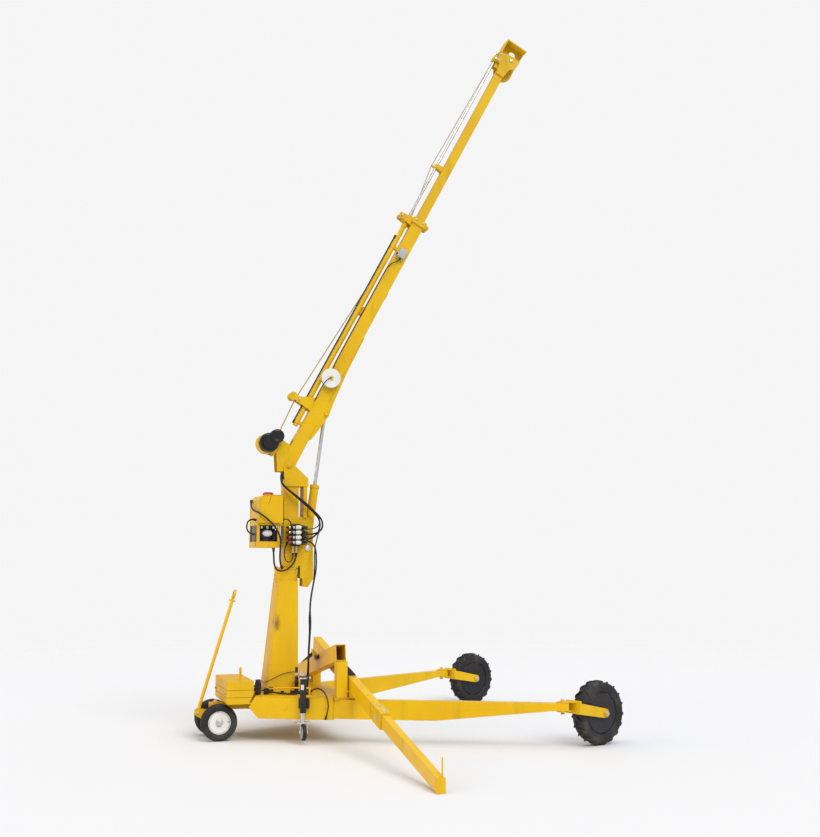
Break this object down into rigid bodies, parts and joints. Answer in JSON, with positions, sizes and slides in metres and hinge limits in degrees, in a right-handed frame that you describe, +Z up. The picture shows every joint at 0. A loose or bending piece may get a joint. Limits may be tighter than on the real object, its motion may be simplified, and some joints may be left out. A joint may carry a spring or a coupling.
{
  "type": "wheeled telescopic crane",
  "caption": "Hand-towed hydraulic crane: telescopic boom on a slewing mast, splayed legs on lugged tyres, crossed outriggers, counterweight, winch and jack.",
  "frame": {"origin": "on the floor, under the middle of the overall box", "axes": "+Z up along the longest extent, +X towards the splayed legs and along the shortest extent, Y across"},
  "size_m": [3.535, 5.932, 6.9309],
  "materials": {
    "yellow": "satin",
    "shade": "satin",
    "black_paint": "satin",
    "tyre": "matte",
    "caster": "matte",
    "white": "satin",
    "steel": "brushed",
    "chrome": "polished",
    "rubber": "matte",
    "rope": "satin",
    "cap": "gloss",
    "alloy": "satin",
    "knob": "gloss",
    "grey": "matte"
  },
  "bodies": {
    "chassis": {"chassis_frame": "yellow", "column": "yellow", "near_leg": "yellow", "far_leg": "yellow", "leg_pins": "yellow", "gantry": "yellow", "gantry_gussets": "black_paint", "counterweight": "shade", "base_hoses": "rubber", "jack_tube": "black_paint"},
    "near_front_swivel": {"near_front_arm": "yellow"},
    "near_front_wheel": {"near_front_tyre": "tyre", "near_front_rim": "black_paint"},
    "far_front_swivel": {"far_front_arm": "yellow"},
    "far_front_wheel": {"far_front_tyre": "tyre", "far_front_rim": "black_paint"},
    "near_outrigger": {"near_outrigger_beam": "yellow"},
    "far_outrigger": {"far_outrigger_beam": "yellow"},
    "rear_steering": {"rear_yoke": "yellow"},
    "near_rear_wheel": {"near_rear_tyre": "tyre", "near_rear_rim": "white"},
    "far_rear_wheel": {"far_rear_tyre": "tyre", "far_rear_rim": "white"},
    "tow_bar": {"tow_handle": "yellow"},
    "jack_post": {"jack_leg": "steel"},
    "jack_handle": {"jack_crank": "white"},
    "caster": {"caster_fork": "steel"},
    "caster_roller": {"caster_wheel": "caster"},
    "upper_works": {"slew_collar": "yellow", "upper_mast": "yellow", "boom_pin": "steel", "pack_cage": "yellow", "oil_tank": "yellow", "pump_motor": "white", "valve_bank": "alloy", "pack_hoses": "rubber", "drop_hose": "rubber"},
    "filler_cap": {"tank_cap": "cap"},
    "lever_1": {"valve_lever_1": "knob"},
    "lever_2": {"valve_lever_2": "knob"},
    "lever_3": {"valve_lever_3": "knob"},
    "lever_4": {"valve_lever_4": "knob"},
    "lift_barrel_body": {"lift_barrel": "yellow"},
    "lift_rod_body": {"lift_rod": "chrome"},
    "boom": {"boom_base": "yellow", "winch_frame": "yellow", "winch_motors": "black_paint", "ext_barrel": "yellow", "junction_box": "grey", "boom_hose": "rubber", "winch_rope": "rope"},
    "drum": {"winch_drum": "steel"},
    "roller_low": {"lower_roller": "steel"},
    "roller_high": {"upper_roller": "steel"},
    "reel": {"cable_reel": "white"},
    "guide": {"rod_guide": "yellow"},
    "tip_section": {"boom_tip": "yellow", "ext_rod": "chrome", "head_rope": "rope"},
    "sheave": {"head_sheave": "shade"}
  },
  "joints": [
    {"name": "near_front_arm_swing", "type": "hinge", "parent": "chassis", "child": "near_front_swivel", "pos_m": [1.09655, -1.51088, 0.34], "axis": [0, 0, 1], "range_deg": [-40, 40]},
    {"name": "near_front_wheel_roll", "type": "hinge", "parent": "near_front_swivel", "child": "near_front_wheel", "pos_m": [1.4797, -1.40867, 0.272], "axis": [-0.342, 0.9397, 0], "continuous": true},
    {"name": "far_front_arm_swing", "type": "hinge", "parent": "chassis", "child": "far_front_swivel", "pos_m": [1.09655, 1.51088, 0.34], "axis": [0, 0, 1], "range_deg": [-40, 40]},
    {"name": "far_front_wheel_roll", "type": "hinge", "parent": "far_front_swivel", "child": "far_front_wheel", "pos_m": [1.4797, 1.61309, 0.272], "axis": [-0.342, 0.9397, 0], "continuous": true},
    {"name": "near_outrigger_slide", "type": "slide", "parent": "chassis", "child": "near_outrigger", "axis": [0, 0.9806, 0.1959], "range_m": [0, 1.2]},
    {"name": "far_outrigger_slide", "type": "slide", "parent": "chassis", "child": "far_outrigger", "axis": [0, -0.9806, 0.1959], "range_m": [0, 1.2]},
    {"name": "rear_steer", "type": "hinge", "parent": "chassis", "child": "rear_steering", "pos_m": [-1.5926, 0, 0.25], "axis": [0, 0, 1], "range_deg": [-30, 30]},
    {"name": "near_rear_wheel_roll", "type": "hinge", "parent": "rear_steering", "child": "near_rear_wheel", "pos_m": [-1.5926, -0.19, 0.16], "axis": [0, 1, 0], "continuous": true},
    {"name": "far_rear_wheel_roll", "type": "hinge", "parent": "rear_steering", "child": "far_rear_wheel", "pos_m": [-1.5926, 0.19, 0.16], "axis": [0, 1, 0], "continuous": true},
    {"name": "tow_handle_tilt", "type": "hinge", "parent": "rear_steering", "child": "tow_bar", "pos_m": [-1.7546, 0, 0.229], "axis": [0, 1, 0], "range_deg": [-95, 3]},
    {"name": "jack_extend", "type": "slide", "parent": "chassis", "child": "jack_post", "axis": [0, 0, -1], "range_m": [-0.01, 0.15]},
    {"name": "jack_crank_turn", "type": "hinge", "parent": "chassis", "child": "jack_handle", "pos_m": [-0.9339, -0.60412, 0.59], "axis": [0, 0, 1], "continuous": true},
    {"name": "caster_swivel", "type": "hinge", "parent": "jack_post", "child": "caster", "pos_m": [-0.9339, -0.60412, 0.19], "axis": [0, 0, 1], "continuous": true},
    {"name": "caster_roll", "type": "hinge", "parent": "caster", "child": "caster_roller", "pos_m": [-0.9339, -0.63012, 0.105], "axis": [1, 0, 0], "continuous": true},
    {"name": "mast_slew", "type": "hinge", "parent": "chassis", "child": "upper_works", "pos_m": [-0.9716, 0, 1.445], "axis": [0, 0, 1], "range_deg": [-170, 170], "deforming": ["drop_hose"]},
    {"name": "filler_cap_turn", "type": "hinge", "parent": "upper_works", "child": "filler_cap", "pos_m": [-1.1596, -0.07, 2.175], "axis": [0, 0, 1], "range_deg": [0, 120]},
    {"name": "valve_lever_1_push", "type": "hinge", "parent": "upper_works", "child": "lever_1", "pos_m": [-0.8376, -0.116, 1.734], "axis": [0, 0, 1], "range_deg": [-12, 12], "stiffness_Nm_per_rad": 4},
    {"name": "valve_lever_2_push", "type": "hinge", "parent": "upper_works", "child": "lever_2", "pos_m": [-0.8376, -0.116, 1.78], "axis": [0, 0, 1], "range_deg": [-12, 12], "stiffness_Nm_per_rad": 4},
    {"name": "valve_lever_3_push", "type": "hinge", "parent": "upper_works", "child": "lever_3", "pos_m": [-0.8376, -0.116, 1.826], "axis": [0, 0, 1], "range_deg": [-12, 12], "stiffness_Nm_per_rad": 4},
    {"name": "valve_lever_4_push", "type": "hinge", "parent": "upper_works", "child": "lever_4", "pos_m": [-0.8376, -0.116, 1.872], "axis": [0, 0, 1], "range_deg": [-12, 12], "stiffness_Nm_per_rad": 4},
    {"name": "boom_lift", "type": "hinge", "parent": "upper_works", "child": "boom", "pos_m": [-0.9716, 0, 2.446], "axis": [0, 1, 0], "range_deg": [-3, 52]},
    {"name": "lift_cylinder_tilt", "type": "hinge", "parent": "upper_works", "child": "lift_barrel_body", "pos_m": [-0.7816, 0, 1.685], "axis": [0, 1, 0], "range_deg": [-1.4, 21]},
    {"name": "lift_rod_travel", "type": "slide", "parent": "lift_barrel_body", "child": "lift_rod_body", "axis": [0.132, 0, 0.9912], "range_m": [-0.362, 0.023]},
    {"name": "winch_drum_turn", "type": "hinge", "parent": "boom", "child": "drum", "pos_m": [-1.16098, 0, 2.65429], "axis": [0, 1, 0], "continuous": true},
    {"name": "lower_roller_turn", "type": "hinge", "parent": "boom", "child": "roller_low", "pos_m": [-0.8704, 0, 3.07513], "axis": [0, 1, 0], "continuous": true},
    {"name": "upper_roller_turn", "type": "hinge", "parent": "boom", "child": "roller_high", "pos_m": [0.14382, 0, 4.95277], "axis": [0, 1, 0], "continuous": true},
    {"name": "cable_reel_turn", "type": "hinge", "parent": "boom", "child": "reel", "pos_m": [-0.57983, 0, 3.28079], "axis": [0, 1, 0], "continuous": true},
    {"name": "rod_guide_slide", "type": "slide", "parent": "boom", "child": "guide", "axis": [0.4695, 0, 0.8829], "range_m": [-0.5512, 0]},
    {"name": "tip_section_slide", "type": "slide", "parent": "boom", "child": "tip_section", "axis": [0.4695, 0, 0.8829], "range_m": [-1.72, 0], "deforming": ["head_rope"]},
    {"name": "head_sheave_turn", "type": "hinge", "parent": "tip_section", "child": "sheave", "pos_m": [1.32244, 0, 6.69655], "axis": [0, 1, 0], "continuous": true}
  ],
  "couplings": [
    {"joint": "lift_cylinder_tilt", "follows": "boom_lift", "ratio": 0.4},
    {"joint": "lift_rod_travel", "follows": "boom_lift", "m_per_rad": -0.396},
    {"joint": "rod_guide_slide", "follows": "tip_section_slide", "ratio": 0.32}
  ]
}
